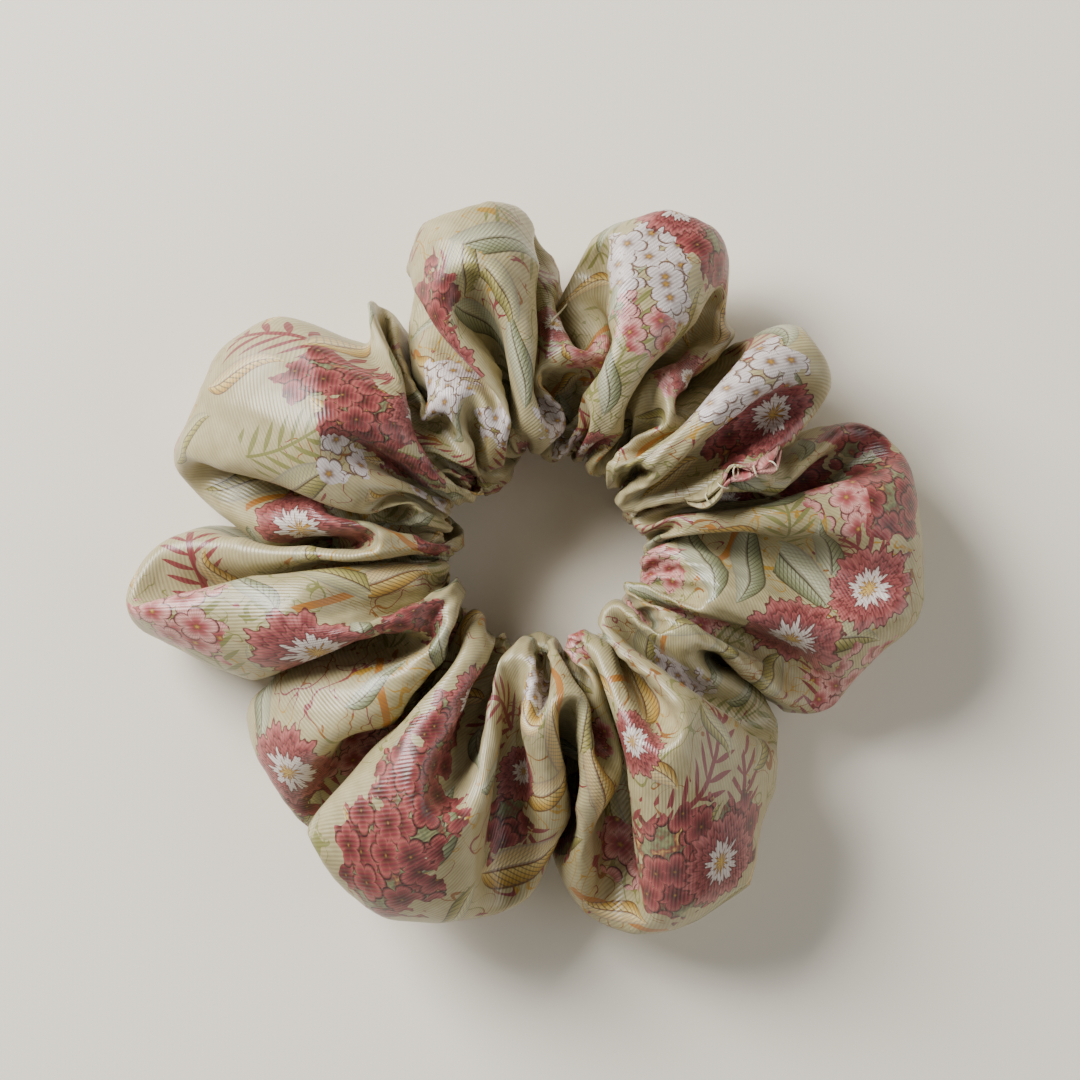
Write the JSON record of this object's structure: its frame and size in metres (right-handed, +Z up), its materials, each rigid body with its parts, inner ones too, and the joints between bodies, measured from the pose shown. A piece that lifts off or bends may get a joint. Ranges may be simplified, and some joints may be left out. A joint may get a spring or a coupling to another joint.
{
  "type": "scrunchie",
  "caption": "Gathered hair tie: a printed sateen tube puffed into lobes round a hidden flat elastic ring, which stretches open round hair.",
  "frame": {"origin": "centre of the hair opening, on the plane that the ring rests on", "axes": "+Z up, through the hair opening; the closing seam is 22 degrees from +X towards +Y"},
  "size_m": [0.115, 0.1094, 0.0319],
  "materials": {
    "printed_sateen": "cotton sateen, cream ground with a red, ochre and green floral print, soft satin sheen",
    "elastic": "white braided polyester over rubber cords, matt",
    "thread": "cream spun polyester sewing thread"
  },
  "bodies": {
    "puff_1": {"cover_puff_1": "printed_sateen", "elastic_band_1": "elastic", "long_seam_stitches_1": "thread"},
    "puff_2": {"cover_puff_2": "printed_sateen", "elastic_band_2": "elastic", "long_seam_stitches_2": "thread", "thread_tail": "thread"},
    "puff_3": {"cover_puff_3": "printed_sateen", "elastic_band_3": "elastic", "long_seam_stitches_3": "thread"},
    "puff_4": {"cover_puff_4": "printed_sateen", "elastic_band_4": "elastic", "long_seam_stitches_4": "thread"},
    "puff_5": {"cover_puff_5": "printed_sateen", "elastic_band_5": "elastic", "long_seam_stitches_5": "thread"},
    "puff_6": {"cover_puff_6": "printed_sateen", "elastic_band_6": "elastic", "long_seam_stitches_6": "thread", "elastic_lapped_end": "elastic", "elastic_lap_stitches": "thread"},
    "puff_7": {"cover_puff_7": "printed_sateen", "elastic_band_7": "elastic", "long_seam_stitches_7": "thread"},
    "puff_8": {"cover_puff_8": "printed_sateen", "elastic_band_8": "elastic", "long_seam_stitches_8": "thread"},
    "puff_9": {"cover_puff_9": "printed_sateen", "elastic_band_9": "elastic", "long_seam_stitches_9": "thread"},
    "closing_seam": {"closing_fold": "printed_sateen", "closing_stitches": "thread"}
  },
  "joints": [
    {"name": "stretch", "type": "slide", "parent": "puff_1", "child": "puff_2", "axis": [-0.796, 0.6053, 0], "range_m": [0, 0.01343], "stiffness_N_per_m": 300},
    {"name": "stretch_2", "type": "slide", "parent": "puff_2", "child": "puff_3", "axis": [-0.9998, 0.0175, 0], "range_m": [0, 0.01643], "stiffness_N_per_m": 300},
    {"name": "stretch_3", "type": "slide", "parent": "puff_3", "child": "puff_4", "axis": [-0.7576, -0.6528, 0], "range_m": [0, 0.0178], "stiffness_N_per_m": 300},
    {"name": "stretch_4", "type": "slide", "parent": "puff_4", "child": "puff_5", "axis": [-0.1607, -0.987, 0], "range_m": [0, 0.01504], "stiffness_N_per_m": 300},
    {"name": "stretch_5", "type": "slide", "parent": "puff_5", "child": "puff_6", "axis": [0.4695, -0.8829, 0], "range_m": [0, 0.01564], "stiffness_N_per_m": 300},
    {"name": "stretch_6", "type": "slide", "parent": "puff_6", "child": "puff_7", "axis": [0.8988, -0.4384, 0], "range_m": [0, 0.01404], "stiffness_N_per_m": 300},
    {"name": "stretch_7", "type": "slide", "parent": "puff_7", "child": "puff_8", "axis": [0.984, 0.1779, 0], "range_m": [0, 0.01583], "stiffness_N_per_m": 300},
    {"name": "stretch_8", "type": "slide", "parent": "puff_8", "child": "puff_9", "axis": [0.5446, 0.8387, 0], "range_m": [0, 0.02218], "stiffness_N_per_m": 300},
    {"name": "stretch_9", "type": "slide", "parent": "puff_9", "child": "closing_seam", "axis": [-0.2672, 0.9636, 0], "range_m": [0, 0.01721]}
  ],
  "couplings": [
    {"joint": "stretch_2", "follows": "stretch", "ratio": 1.2222},
    {"joint": "stretch_3", "follows": "stretch", "ratio": 1.3242},
    {"joint": "stretch_4", "follows": "stretch", "ratio": 1.1191},
    {"joint": "stretch_5", "follows": "stretch", "ratio": 1.1635},
    {"joint": "stretch_6", "follows": "stretch", "ratio": 1.0448},
    {"joint": "stretch_7", "follows": "stretch", "ratio": 1.1782},
    {"joint": "stretch_8", "follows": "stretch", "ratio": 1.6501},
    {"joint": "stretch_9", "follows": "stretch", "ratio": 1.2807}
  ]
}
